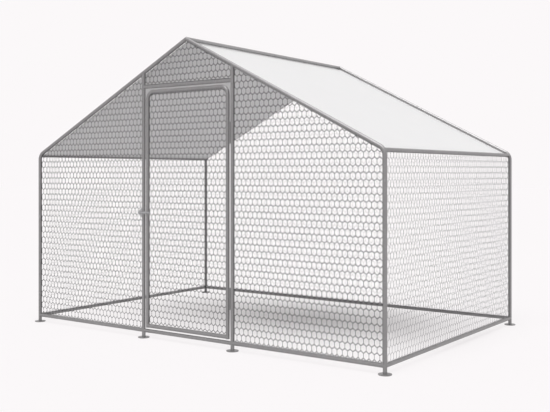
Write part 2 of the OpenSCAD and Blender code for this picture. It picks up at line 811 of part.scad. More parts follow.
post_front_left();
post_front_right();
post_rear_left();
post_rear_right();
door_post_left();
door_post_right();
foot_front_left();
foot_front_right();
foot_rear_left();
foot_rear_right();
foot_door_left();
foot_door_right();
elbow_front_left();
elbow_front_right();
elbow_rear_left();
elbow_rear_right();
rafter_front_left();
rafter_front_right();
rafter_rear_left();
rafter_rear_right();
apex_front();
apex_rear();
ridge_tube();
eave_rail_left();
eave_rail_right();
bottom_rail_front_left();
bottom_rail_front_right();
bottom_rail_rear();
bottom_rail_left();
bottom_rail_right();
door_sill();
door_head_rail();
net_front_left();
net_front_right();
net_gable();
net_rear();
net_left();
net_right();
roof_cover();
joint_screws();
post_hinge_upper();
post_hinge_lower();
hinge_pins();
latch_keeper();
door_frame();
door_bottom_rail();
door_net();
door_hinge_upper();
door_hinge_lower();
latch_guide();
latch_bolt();
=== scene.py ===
"""Dresses a walk-in chicken run: galvanised tube, hexagonal wire netting and a stretched roof cover."""
import json
import math
import random

import bpy
from bpy.props import FloatProperty, FloatVectorProperty, PointerProperty
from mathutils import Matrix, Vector


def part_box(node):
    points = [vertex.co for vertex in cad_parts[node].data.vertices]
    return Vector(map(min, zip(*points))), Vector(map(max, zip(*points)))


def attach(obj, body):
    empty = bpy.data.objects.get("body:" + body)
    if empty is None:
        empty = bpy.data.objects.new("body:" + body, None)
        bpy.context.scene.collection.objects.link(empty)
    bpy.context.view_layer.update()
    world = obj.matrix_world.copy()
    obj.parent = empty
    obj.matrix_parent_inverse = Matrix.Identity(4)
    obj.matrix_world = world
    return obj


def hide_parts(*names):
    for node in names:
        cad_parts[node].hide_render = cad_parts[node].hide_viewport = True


bl_info = {
    "name": "Chicken Run",
    "version": (1, 0, 0),
    "blender": (4, 5, 0),
    "location": "3D View > Sidebar > Chicken Run",
    "description": "Netting, roof cover, finishes and stage for a walk-in chicken run",
    "category": "Object",
}

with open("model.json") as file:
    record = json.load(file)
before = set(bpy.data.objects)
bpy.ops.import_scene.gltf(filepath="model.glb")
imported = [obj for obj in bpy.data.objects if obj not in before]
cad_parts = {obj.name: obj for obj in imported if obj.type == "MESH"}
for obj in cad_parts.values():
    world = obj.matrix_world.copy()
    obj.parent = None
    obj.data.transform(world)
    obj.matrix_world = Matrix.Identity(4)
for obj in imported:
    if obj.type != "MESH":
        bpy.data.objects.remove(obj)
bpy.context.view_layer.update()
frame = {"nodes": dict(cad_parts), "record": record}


def middle(node):
    """Middle of a CAD node's box."""
    low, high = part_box(node)
    return (low + high) / 2


TUBE_R = middle("ridge_tube").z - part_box("ridge_tube")[0].z
HALF_W = middle("foot_front_right").x
HALF_D = middle("foot_rear_right").y
RIDGE_Z = middle("ridge_tube").z
DOOR_NODES = frame["record"]["behaviour"]["bodies"]["door"]
HINGES = ("post_hinge_upper", "post_hinge_lower", "door_hinge_upper", "door_hinge_lower")
LATCH = ("latch_guide", "latch_keeper")
# Tubes that take a lighter copy of the tube colour: painted light on the ridge and the rear gable
PAINTED_LIGHT_TUBES = ("ridge_tube", "apex_rear", "rafter_rear_left", "rafter_rear_right")
ARC_STEPS = 6

# Netting: half widths as shares of the wire's thickness, and the rings and turn of a twist
TWIST_SIDE_SHARE = 0.56
TWIST_FACE_SHARE = 0.32
TWIST_TURN = 1.1
TWIST_RINGS = 6
REAR_TWIST_RINGS = 3
SLANT_SHARE = 0.53
SELVEDGE_SHARE = 0.4
SHORTEST_WIRE = 0.0001

# Weld beads: length of a ripple, shares of the bead's radius, and bare ends of the hinge seams
RIPPLE_LENGTH = 0.0016
RIPPLE_SHARE = 0.14
RIPPLE_STRAY = 0.1
BEAD_END_SHARE = 0.5
SEAM_MARGIN = 0.002
WELD_SEED = 3

# Seams of the keeper plate: places in beads or tube radii, and reach as a share of its height
OUTER_SEAM_LIFT = 0.4
OUTER_SEAM_SHARE = 0.46
INNER_SEAM_BACK = 0.75
INNER_SEAM_DEPTH = 0.65
INNER_SEAM_SHARE = 0.38

# Wire ties: steps of the loop and the tail, the tail's turn, bends round what is held, and places
LOOP_STEPS = 18
HOLD_STEPS = 4
TAIL_STEPS = 10
TAIL_TURN = 0.9
NET_TIE_BEND = 0.0012
COVER_TIE_BEND = 0.002
NET_GAP = 0.0003
SHORTEST_TIED_EDGE = 0.09
TIE_STRAY = 0.012
TIE_SIDESTEP = 0.01
TIE_ROOM = (0.03, 0.03, 0.012)
TIE_SEED = 11

# Roof cover: its thickness, mesh steps across and along, and slight puckers
COVER_THICKNESS = 0.001
COVER_STEPS = (72, 48)
PUCKER = 0.0004
PUCKER_WAVES = (23, 9, 41)
PUCKER_START = 2.0

# Hem and eyelets: mesh steps, sink into the cover, gaps at its ends, and the first eyelet's place
HEM_SLOPE_STEPS = 36
HEM_EAVE_STEPS = 44
HEM_WIDTH_STEPS = 4
HEM_SINK = 0.0001
HEM_RIDGE_GAP = 0.01
HEM_EAVE_GAP = 0.001
FIRST_EYELET = 0.6


# Settings

class NettingSettings(bpy.types.PropertyGroup):
    """Sizes and colour of the wire netting and its ties."""
    gap_width: FloatProperty(
        name="Gap width", description="Width of one hexagonal gap",
        default=0.0354, min=0.01, unit="LENGTH")
    twist_length: FloatProperty(
        name="Twist length", description="Length of the twisted upright side of a gap",
        default=0.0266, min=0.005, unit="LENGTH")
    slant_rise: FloatProperty(
        name="Slant rise", description="Rise of the slanted sides of a gap",
        default=0.0147, min=0.002, unit="LENGTH")
    front_start: FloatVectorProperty(
        name="Front start", description="Middle of one gap on the front and rear walls, across and up",
        default=(0.0034, -0.0329), size=2, unit="LENGTH")
    side_start: FloatVectorProperty(
        name="Side start", description="Middle of one gap on the side walls, along and up",
        default=(0.0015, -0.0356), size=2, unit="LENGTH")
    front_wire: FloatVectorProperty(
        name="Front wire",
        description="Thickness of the slants and of the twists in the front right, gable and door nets",
        default=(0.0037, 0.0030), min=0.0003, size=2, unit="LENGTH")
    right_wire: FloatVectorProperty(
        name="Right wire", description="Thickness of the slants and of the twists in the right net",
        default=(0.0017, 0.0018), min=0.0003, size=2, unit="LENGTH")
    front_left_wire: FloatVectorProperty(
        name="Front left wire",
        description="Thickness of the slants and of the twists in the front left net",
        default=(0.0035, 0.0028), min=0.0003, size=2, unit="LENGTH")
    left_wire: FloatVectorProperty(
        name="Left wire", description="Thickness of the slants and of the twists in the left net",
        default=(0.0014, 0.0015), min=0.0003, size=2, unit="LENGTH")
    rear_wire: FloatVectorProperty(
        name="Rear wire", description="Thickness of the slants and of the twists in the rear net",
        default=(0.0011, 0.0012), min=0.0003, size=2, unit="LENGTH")
    selvedge_inset: FloatProperty(
        name="Selvedge inset", description="Distance of the selvedge wire from the edge of its panel",
        default=0.002, min=0.0, unit="LENGTH")
    unevenness: FloatProperty(
        name="Unevenness", description="How far the corners of the gaps stray from their places",
        default=0.0003, min=0.0, unit="LENGTH")
    tie_spacing: FloatProperty(
        name="Tie spacing", description="Distance between the wire ties along a tube",
        default=0.3, min=0.05, unit="LENGTH")
    tie_wire: FloatProperty(
        name="Tie wire", description="Wire diameter of the ties",
        default=0.0008, min=0.0003, unit="LENGTH")
    tie_tail: FloatProperty(
        name="Tie tail", description="Length of the twisted end of a tie",
        default=0.011, min=0.002, unit="LENGTH")
    colour: FloatVectorProperty(
        name="Wire colour", description="Colour of the netting wire",
        default=(0.026, 0.026, 0.027), min=0.0, max=1.0, subtype="COLOR")


class CoverSettings(bpy.types.PropertyGroup):
    """Sizes and colours of the roof cover; the underside colour is painted shade."""
    thickness: FloatProperty(
        name="Thickness", description="Thickness of the cover",
        default=COVER_THICKNESS, min=0.0002, unit="LENGTH")
    pitch: FloatProperty(
        name="Pitch", description="Pitch of the roof, from the packed cover",
        default=math.atan2(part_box("roof_cover")[1].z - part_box("roof_cover")[0].z - COVER_THICKNESS,
                           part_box("roof_cover")[1].x), subtype="ANGLE")
    sag: FloatProperty(
        name="Sag", description="How far the cover sags between ridge and eave",
        default=0.005, min=0.0, unit="LENGTH")
    hem_width: FloatProperty(
        name="Hem width", description="Width of the welded hem",
        default=0.032, min=0.005, unit="LENGTH")
    hem_thickness: FloatProperty(
        name="Hem thickness", description="How far the hem stands above the cover",
        default=0.0009, min=0.0002, unit="LENGTH")
    eyelet_spacing: FloatProperty(
        name="Eyelet spacing", description="Distance between the eyelets along the edges",
        default=0.42, min=0.1, unit="LENGTH")
    eyelet_hole: FloatProperty(
        name="Eyelet hole", description="Hole radius of an eyelet",
        default=0.0042, min=0.001, unit="LENGTH")
    eyelet_rim: FloatProperty(
        name="Eyelet rim", description="Outer radius of an eyelet",
        default=0.0078, min=0.002, unit="LENGTH")
    colour: FloatVectorProperty(
        name="Cover colour", description="Colour of the cover's upper side",
        default=(0.842, 0.84, 0.842), min=0.0, max=1.0, subtype="COLOR")
    # Painted shade: the underside is a darker copy of the cover colour, standing in for the shade under the
    # roof
    underside_painted_shade: FloatVectorProperty(
        name="Lining colour", description="Colour of the cover's underside",
        default=(0.68, 0.68, 0.685), min=0.0, max=1.0, subtype="COLOR")


class TubeSettings(bpy.types.PropertyGroup):
    """Bends, welds and finish of the tubes and the hardware, and a lighter tube colour that paints light on
    the roof tubes.
    """
    bend_radius: FloatProperty(
        name="Bend radius", description="Bend radius of the eave corners, to the tube axis",
        default=0.06, min=0.02, unit="LENGTH")
    door_corner: FloatProperty(
        name="Door corner", description="Inner radius of the upper door corners",
        default=0.0395, min=0.01, unit="LENGTH")
    hinge_pad: FloatProperty(
        name="Hinge pad", description="Thickness of the hinge pads where they meet the tube",
        default=0.007, min=0.002, unit="LENGTH")
    latch_pad: FloatProperty(
        name="Latch pad", description="Width of the pad under the bolt guide",
        default=0.012, min=0.004, unit="LENGTH")
    bead: FloatProperty(
        name="Weld bead", description="Radius of the weld beads",
        default=0.0013, min=0.0003, unit="LENGTH")
    colour: FloatVectorProperty(
        name="Tube colour", description="Colour of the galvanised tube",
        default=(0.285, 0.281, 0.283), min=0.0, max=1.0, subtype="COLOR")
    # Painted light: a lighter copy of the tube colour for the ridge tube and the rear gable's tubes,
    # standing in for the light they catch
    painted_light_roof_colour: FloatVectorProperty(
        name="Roof tube colour",
        description="Colour of the ridge tube and the rear gable's tubes, which are a little brighter",
        default=(0.37, 0.365, 0.368), min=0.0, max=1.0, subtype="COLOR")
    weld_colour: FloatVectorProperty(
        name="Weld colour", description="Colour of the weld beads",
        default=(0.24, 0.235, 0.235), min=0.0, max=1.0, subtype="COLOR")
    zinc_colour: FloatVectorProperty(
        name="Zinc colour", description="Colour of the zinc-plated hardware",
        default=(0.46, 0.46, 0.47), min=0.0, max=1.0, subtype="COLOR")


class StageSettings(bpy.types.PropertyGroup):
    """Floor, light and camera."""
    backdrop: FloatVectorProperty(
        name="Backdrop", description="Colour of the floor and the backdrop",
        default=(0.965, 0.939, 0.947), min=0.0, max=1.0, subtype="COLOR")
    # Painted shade: these place an oval mask that sets how much of the floor's shadow shows, not the light
    shade_lift: FloatVectorProperty(
        name="Shade lift",
        description="How far the backdrop's colour lightens the shadow, where it is deepest and far off",
        default=(0.17, 0.88), min=0.0, max=1.0, size=2)
    shade_middle: FloatVectorProperty(
        name="Shade middle", description="Place on the floor where the shadow is deepest",
        default=(0.05, 0.3), size=2, unit="LENGTH")
    shade_reach: FloatVectorProperty(
        name="Shade reach",
        description="Distance over which the shadow fades, along the front and to the rear",
        default=(1.95, 1.25), min=0.1, size=2, unit="LENGTH")
    sky: FloatProperty(
        name="Sky light", description="Strength of the light from all round", default=0.36, min=0.0)
    sun: FloatProperty(
        name="Sun light", description="Strength of the soft light from above", default=2.16, min=0.0)
    sun_size: FloatProperty(
        name="Sun size", description="Width of the soft light as seen from the object",
        default=math.radians(40), subtype="ANGLE")
    sun_lean: FloatProperty(
        name="Sun lean", description="Lean of the soft light towards the front",
        default=math.radians(18), subtype="ANGLE")
    sun_side: FloatProperty(
        name="Sun side", description="Lean of the soft light towards the right",
        default=math.radians(8), subtype="ANGLE")
    camera_place: FloatVectorProperty(
        name="Camera place", description="Place of the camera",
        default=(3.79299, -5.3093, 1.14326), subtype="TRANSLATION", unit="LENGTH")
    camera_turn: FloatProperty(
        name="Camera turn", description="Turn of the camera about the vertical",
        default=math.radians(35.9623), subtype="ANGLE")
    lens: FloatProperty(
        name="Lens", description="Focal length of the camera", default=56.194, min=1.0, unit="CAMERA")
    slide: FloatProperty(
        name="Slide", description="Sideways shift of the picture", default=0.01615)
    rise: FloatProperty(
        name="Rise", description="Vertical shift of the picture", default=-0.06065)


# Materials

class Surface:
    """A material with one principled shader, built node by node."""
    ramp_stops = (0.25, 0.75)

    def __init__(self, name, colour, roughness, metallic):
        self.material = bpy.data.materials.new(name)
        self.material.use_nodes = True
        self.tree = self.material.node_tree
        self.shader = self.tree.nodes["Principled BSDF"]
        self.material.diffuse_color = (*colour, 1.0)
        self.shader.inputs["Base Color"].default_value = (*colour, 1.0)
        self.shader.inputs["Roughness"].default_value = roughness
        self.shader.inputs["Metallic"].default_value = metallic
        self.place = self.add("ShaderNodeTexCoord").outputs["Object"]

    def add(self, kind, inputs=None, **settings):
        """Adds a node, sets its settings, and fills or links its inputs."""
        node = self.tree.nodes.new(kind)
        for key, value in settings.items():
            setattr(node, key, value)
        for key, value in (inputs or {}).items():
            if isinstance(value, bpy.types.NodeSocket):
                self.tree.links.new(value, node.inputs[key])
            else:
                node.inputs[key].default_value = value
        return node

    def noise(self, scale, detail=2.0, stretch=None):
        """A noise texture's value, at features per metre, with an optional stretch."""
        place = self.place
        if stretch:
            place = self.add("ShaderNodeMapping", {"Vector": place, "Scale": stretch}).outputs["Vector"]
        node = self.add("ShaderNodeTexNoise", {"Vector": place, "Scale": scale, "Detail": detail})
        return node.outputs["Fac"]

    def shades(self, value, colour, spread):
        """Colour ramp round a colour, darker and lighter by a share."""
        ramp = self.add("ShaderNodeValToRGB", {"Fac": value})
        for stop, share, at in zip(ramp.color_ramp.elements, (1 - spread, 1 + spread), self.ramp_stops):
            stop.position = at
            stop.color = (*[min(1.0, c * share) for c in colour], 1.0)
        return ramp.outputs["Color"]

    def blend(self, factor, first, second):
        """Mix of two colours."""
        node = self.add("ShaderNodeMix", {"Factor": factor}, data_type="RGBA")
        self.tree.links.new(first, node.inputs["A"])
        self.tree.links.new(second, node.inputs["B"])
        return node.outputs["Result"]

    def colour_from(self, socket):
        """Links a colour to the shader."""
        self.tree.links.new(socket, self.shader.inputs["Base Color"])

    def roughness_from(self, value, low, high):
        """Links a value to the roughness, spread from low to high."""
        span = self.add("ShaderNodeMapRange", {"Value": value, "To Min": low, "To Max": high})
        self.tree.links.new(span.outputs["Result"], self.shader.inputs["Roughness"])

    def bump_from(self, height, strength, depth):
        """Links a height to the surface's bump."""
        bump = self.add("ShaderNodeBump", {"Height": height, "Strength": strength, "Distance": depth})
        self.tree.links.new(bump.outputs["Normal"], self.shader.inputs["Normal"])


def seen_rays(tree):
    """Socket that is one for camera, glossy and transmission rays."""
    path = tree.nodes.new("ShaderNodeLightPath")
    seen = path.outputs["Is Camera Ray"]
    for ray in ("Is Glossy Ray", "Is Transmission Ray"):
        most = tree.nodes.new("ShaderNodeMath")
        most.operation = "MAXIMUM"
        tree.links.new(seen, most.inputs[0])
        tree.links.new(path.outputs[ray], most.inputs[1])
        seen = most.outputs[0]
    return seen


def galvanised(name, colour, roughness=(0.30, 0.44)):
    """Dull hot-dip zinc: faint spangle, cloudy greys, upright run marks and a slightly grainy skin."""
    look = Surface(name, colour, roughness=sum(roughness) / 2, metallic=0.62)
    cells = look.add("ShaderNodeTexVoronoi", {"Vector": look.place, "Scale": 110.0, "Randomness": 0.9})
    spangle = look.shades(cells.outputs["Color"], colour, spread=0.10)
    clouds = look.shades(look.noise(scale=7.0, detail=4.0), colour, spread=0.15)
    marks = look.noise(scale=55.0, detail=3.0, stretch=(1.0, 1.0, 0.06))
    runs = look.shades(marks, colour, spread=0.12)
    look.colour_from(look.blend(0.4, look.blend(0.5, spangle, clouds), runs))
    look.roughness_from(look.noise(scale=45.0, detail=3.0), *roughness)
    look.bump_from(look.noise(scale=900.0), strength=0.10, depth=0.0003)
    return look.material


def zinc_plated(name, colour):
    """Brighter plated hardware with fine upright scratches."""
    look = Surface(name, colour, roughness=0.35, metallic=0.75)
    look.colour_from(look.shades(look.noise(scale=60.0, detail=3.0), colour, spread=0.12))
    look.roughness_from(look.noise(scale=260.0, stretch=(1.0, 1.0, 0.2)), low=0.28, high=0.46)
    look.bump_from(look.noise(scale=1400.0), strength=0.10, depth=0.0002)
    return look.material


def netting_wire(name, colour):
    """Dull dark netting wire, a little uneven in colour and gloss."""
    look = Surface(name, colour, roughness=0.6, metallic=0.0)
    look.shader.inputs["Specular IOR Level"].default_value = 0.25
    look.colour_from(look.shades(look.noise(scale=30.0, detail=3.0), colour, spread=0.25))
    look.roughness_from(look.noise(scale=120.0), low=0.5, high=0.7)
    return look.material


def coated_cloth(name, colour):
    """Coated woven sheet: flat tapes crossing at right angles under a satin coat."""
    look = Surface(name, colour, roughness=0.45, metallic=0.0)
    bands = {"Vector": look.place, "Scale": 125.0, "Distortion": 0.4}
    warp, weft = (look.add("ShaderNodeTexWave", bands, wave_type="BANDS", bands_direction=way)
                  for way in ("X", "Y"))
    weave = look.add("ShaderNodeMath", {0: warp.outputs["Fac"], 1: weft.outputs["Fac"]},
                     operation="MULTIPLY").outputs["Value"]
    clouds = look.shades(look.noise(scale=2.5, detail=4.0), colour, spread=0.018)
    tapes = look.shades(weave, colour, spread=0.03)
    look.colour_from(look.blend(0.5, clouds, tapes))
    look.roughness_from(look.noise(scale=14.0, detail=3.0), low=0.40, high=0.52)
    look.bump_from(weave, strength=0.25, depth=0.0003)
    return look.material


# Meshes

def grid(low, high, count):
    """Evenly spaced numbers from low to high."""
    return [low + (high - low) * k / count for k in range(count + 1)]


def add_piece(name, points, faces, looks, body, under=()):
    """Links a smooth mesh that rides on a body; the faces listed in under take the second look."""
    mesh = bpy.data.meshes.new(name)
    mesh.from_pydata(points, [], faces)
    mesh.update()
    for look in looks:
        mesh.materials.append(look)
    mesh.polygons.foreach_set("use_smooth", [True] * len(mesh.polygons))
    for face in under:
        mesh.polygons[face].material_index = 1
    piece = bpy.data.objects.new(name, mesh)
    bpy.context.scene.collection.objects.link(piece)
    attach(piece, body)
    return piece


def add_tube(points, faces, path, radii, sides, closed=False):
    """Adds a round tube along a path to a mesh's lists; radii is one radius, or one for each point."""
    path = [Vector(p) for p in path]
    count = len(path)
    radii = [radii] * count if isinstance(radii, float) else radii
    start = len(points)
    aim = None
    for i, p in enumerate(path):
        before = path[i - 1] if (i or closed) else p
        after = path[(i + 1) % count] if (i + 1 < count or closed) else p
        along = (after - before).normalized()
        aim = aim or along.orthogonal()
        aim = (aim - along * aim.dot(along)).normalized()
        across = along.cross(aim)
        for k in range(sides):
            a = 2 * math.pi * k / sides
            points.append(p + (aim * math.cos(a) + across * math.sin(a)) * radii[i])
    for i in range(count if closed else count - 1):
        here, there = start + i * sides, start + (i + 1) % count * sides
        for k in range(sides):
            n = (k + 1) % sides
            faces.append((here + k, here + n, there + n, there + k))
    if not closed:
        faces.append(tuple(start + k for k in reversed(range(sides))))
        faces.append(tuple(start + (count - 1) * sides + k for k in range(sides)))


def add_bead(points, faces, path, radius, stray):
    """Adds a rippled weld bead along a path of points."""
    spots = []
    for a, b in zip(path, path[1:]):
        a, b = Vector(a), Vector(b)
        steps = max(1, round((b - a).length / RIPPLE_LENGTH))
        spots += [a.lerp(b, k / steps) for k in range(steps)]
    spots.append(Vector(path[-1]))
    radii = [radius * (stray.uniform(1 - RIPPLE_STRAY, 1 + RIPPLE_STRAY) + k % 2 * RIPPLE_SHARE)
             for k in range(len(spots))]
    radii[0] = radii[-1] = radius * BEAD_END_SHARE
    add_tube(points, faces, spots, radii, sides=8)


def add_tie(points, faces, hub, along, held, bend, tail, settings):
    """Adds a wire tie: a loop round a tube axis at hub and round held, with a twisted tail."""
    r = settings.tie_wire / 2
    reach = held - hub
    reach -= along * reach.dot(along)
    span = reach.length
    towards = reach.normalized()
    side = along.cross(towards)
    ring = TUBE_R + r
    turn = math.acos((ring - bend) / span)
    loop = []
    for a in grid(turn, 2 * math.pi - turn, LOOP_STEPS):
        loop.append(hub + (towards * math.cos(a) + side * math.sin(a)) * ring)
    for a in grid(-turn, turn, HOLD_STEPS):
        loop.append(hub + towards * span + (towards * math.cos(a) + side * math.sin(a)) * bend)
    add_tube(points, faces, loop, r, sides=5, closed=True)
    tip = hub + towards * (span + bend)
    aim = tail.normalized()
    first = aim.orthogonal().normalized()
    second = aim.cross(first)
    for strand in (0.0, math.pi):
        path = []
        for k in range(TAIL_STEPS + 1):
            a = strand + k * TAIL_TURN
            path.append(tip + aim * (settings.tie_tail * k / TAIL_STEPS)
                        + (first * math.cos(a) + second * math.sin(a)) * r)
        add_tube(points, faces, path, r, sides=4)


class NetPanel:
    """A flat convex panel of netting: an outline of (u, v) points, set upright in the frame."""

    def __init__(self, outline, origin, u_axis):
        self.outline = outline
        self.origin = Vector(origin)
        self.u = Vector(u_axis)
        self.n = self.u.cross(Vector((0.0, 0.0, 1.0)))
        self.inside = -self.n if self.n.dot(self.origin) > 0 else self.n

    def at(self, u, v, w=0.0):
        """Place of a point (u, v), w in front of the panel."""
        o, a, n = self.origin, self.u, self.n
        return (o.x + a.x * u + n.x * w, o.y + a.y * u + n.y * w, o.z + v)

    def edges(self):
        """Start, direction, inward normal and length of each edge."""
        for (u0, v0), (u1, v1) in zip(self.outline, self.outline[1:] + self.outline[:1]):
            length = math.hypot(u1 - u0, v1 - v0)
            du, dv = (u1 - u0) / length, (v1 - v0) / length
            yield (u0, v0), (du, dv), (-dv, du), length

    def inset(self, by):
        """The panel drawn in by a distance on all sides."""
        lines = [((p[0] + n[0] * by, p[1] + n[1] * by), d) for p, d, n, _ in self.edges()]
        corners = []
        for (p, d), (q, e) in zip(lines[-1:] + lines[:-1], lines):
            t = ((q[0] - p[0]) * e[1] - (q[1] - p[1]) * e[0]) / (d[0] * e[1] - d[1] * e[0])
            corners.append((p[0] + d[0] * t, p[1] + d[1] * t))
        return NetPanel(corners, self.origin, self.u)


def clip(a, b, edges):
    """Both ends of the stretch of a-b inside a convex panel, or None."""
    t0, t1 = 0.0, 1.0
    du, dv, dw = b[0] - a[0], b[1] - a[1], b[2] - a[2]
    for (pu, pv), _, (nu, nv), _ in edges:
        start = (a[0] - pu) * nu + (a[1] - pv) * nv
        step = du * nu + dv * nv
        parallel = abs(step) < 1e-12
        if parallel:
            if start < 0:
                return None
            continue
        t = -start / step
        if step > 0:
            t0 = max(t0, t)
        else:
            t1 = min(t1, t)
        if t0 >= t1:
            return None
    return [(a[0] + du * t, a[1] + dv * t, a[2] + dw * t) for t in (t0, t1)]


def add_wire(points, faces, panel, a, b, half_side, half_face, rings=1, turn=0.0):
    """Adds a wire between two panel points: a four-sided bar of some rings, turned from ring to ring."""
    length = math.hypot(b[0] - a[0], b[1] - a[1])
    if length < SHORTEST_WIRE:
        return
    su, sv = -(b[1] - a[1]) / length, (b[0] - a[0]) / length
    start = len(points)
    for i in range(rings + 1):
        u, v, w = (a[k] + (b[k] - a[k]) * i / rings for k in range(3))
        c, s = math.cos(i * turn), math.sin(i * turn)
        for x, y in ((half_side, 0.0), (0.0, half_face), (-half_side, 0.0), (0.0, -half_face)):
            side, face = x * c - y * s, x * s + y * c
            points.append(panel.at(u + su * side, v + sv * side, w + face))
    for i in range(rings):
        here, there = start + 4 * i, start + 4 * i + 4
        for k in range(4):
            n = (k + 1) % 4
            faces.append((here + k, there + k, there + n, here + n))
    faces.append((start, start + 1, start + 2, start + 3))
    last = start + 4 * rings
    faces.append((last + 3, last + 2, last + 1, last))


def hexagon_netting(panel, settings, slant, twisted, rings, seed):
    """Points and faces of netting that fills a panel: slants, twists of some rings, and the selvedge."""
    points, faces = [], []
    stray = random.Random(seed)
    inner = panel.inset(settings.selvedge_inset)
    edges = list(inner.edges())
    wide, tall = settings.gap_width, settings.twist_length + settings.slant_rise
    u0, v0 = settings.front_start if panel.u.x else settings.side_start
    us, vs = [p[0] for p in inner.outline], [p[1] for p in inner.outline]
    cols = range(math.floor((min(us) - u0) / wide) - 2, math.ceil((max(us) - u0) / wide) + 1)
    rows = range(math.floor((min(vs) - v0) / tall) - 1, math.ceil((max(vs) - v0) / tall) + 1)
    places = {}

    def twist(row, col):
        """Lower and upper end of one upright side."""
        if (row, col) not in places:
            u = u0 + (col + 0.5 + row % 2 / 2) * wide
            v = v0 + row * tall - settings.twist_length / 2
            jolt = [stray.uniform(-1.0, 1.0) * settings.unevenness for _ in range(5)]
            places[row, col] = ((u + jolt[0], v + jolt[1], jolt[2]),
                                (u + jolt[0], v + settings.twist_length + jolt[3], jolt[4]))
        return places[row, col]

    for row in rows:
        for col in cols:
            foot, top = twist(row, col)
            piece = clip(foot, top, edges)
            if piece:
                add_wire(points, faces, panel, *piece, twisted * TWIST_SIDE_SHARE,
                         twisted * TWIST_FACE_SHARE, rings, TWIST_TURN)
            for step in (0, 1):
                there = twist(row + 1, col + step - 1 + row % 2)[0]
                piece = clip(top, there, edges)
                if piece:
                    add_wire(points, faces, panel, *piece, slant * SLANT_SHARE, slant * SLANT_SHARE)
    selvedge = [panel.at(u, v) for u, v in inner.outline]
    add_tube(points, faces, selvedge, slant * SELVEDGE_SHARE, sides=6, closed=True)
    return points, faces


def panels(tubes, cover):
    """The flat panels that the netting fills, by CAD node."""
    drop = math.tan(cover.pitch)
    turn = math.pi / 2 - cover.pitch
    bend_x = HALF_W - tubes.bend_radius
    bend_z = RIDGE_Z - HALF_W * drop - tubes.bend_radius * math.tan(turn / 2)
    low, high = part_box("net_right")
    arc_r = (low.x + high.x) / 2 - bend_x - TUBE_R
    eave = [(bend_x + arc_r * math.cos(angle), bend_z + arc_r * math.sin(angle))
            for angle in grid(0.0, turn, ARC_STEPS)]
    front, rear = (0.0, -HALF_D, 0.0), (0.0, HALF_D, 0.0)
    along_x, along_y = (1.0, 0.0, 0.0), (0.0, 1.0, 0.0)
    found = {}

    a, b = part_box("net_front_right")
    right = [(a.x, a.z), (b.x, a.z)] + eave + [(a.x, b.z)]
    found["net_front_right"] = NetPanel(right, front, along_x)
    found["net_front_left"] = NetPanel([(-u, v) for u, v in reversed(right)], front, along_x)

    a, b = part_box("net_gable")
    shoulder = b.z - b.x * drop
    found["net_gable"] = NetPanel(
        [(a.x, a.z), (b.x, a.z), (b.x, shoulder), (0.0, b.z), (a.x, shoulder)], front, along_x)

    a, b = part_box("net_rear")
    mirrored = [(-u, v) for u, v in reversed(eave)]
    found["net_rear"] = NetPanel(
        [(a.x, a.z), (b.x, a.z)] + eave + [(0.0, b.z)] + mirrored, rear, along_x)

    for node, x in (("net_left", -HALF_W), ("net_right", HALF_W)):
        a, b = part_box(node)
        found[node] = NetPanel([(a.y, a.z), (b.y, a.z), (b.y, b.z), (a.y, b.z)], (x, 0.0, 0.0), along_y)

    a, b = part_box("door_net")
    r = tubes.door_corner
    corner = [(math.cos(angle), math.sin(angle)) for angle in grid(0.0, math.pi / 2, ARC_STEPS)]
    found["door_net"] = NetPanel(
        [(a.x, a.z), (b.x, a.z)]
        + [(b.x - r + r * c, b.z - r + r * s) for c, s in corner]
        + [(a.x + r - r * c, b.z - r + r * s) for c, s in reversed(corner)], front, along_x)
    return found


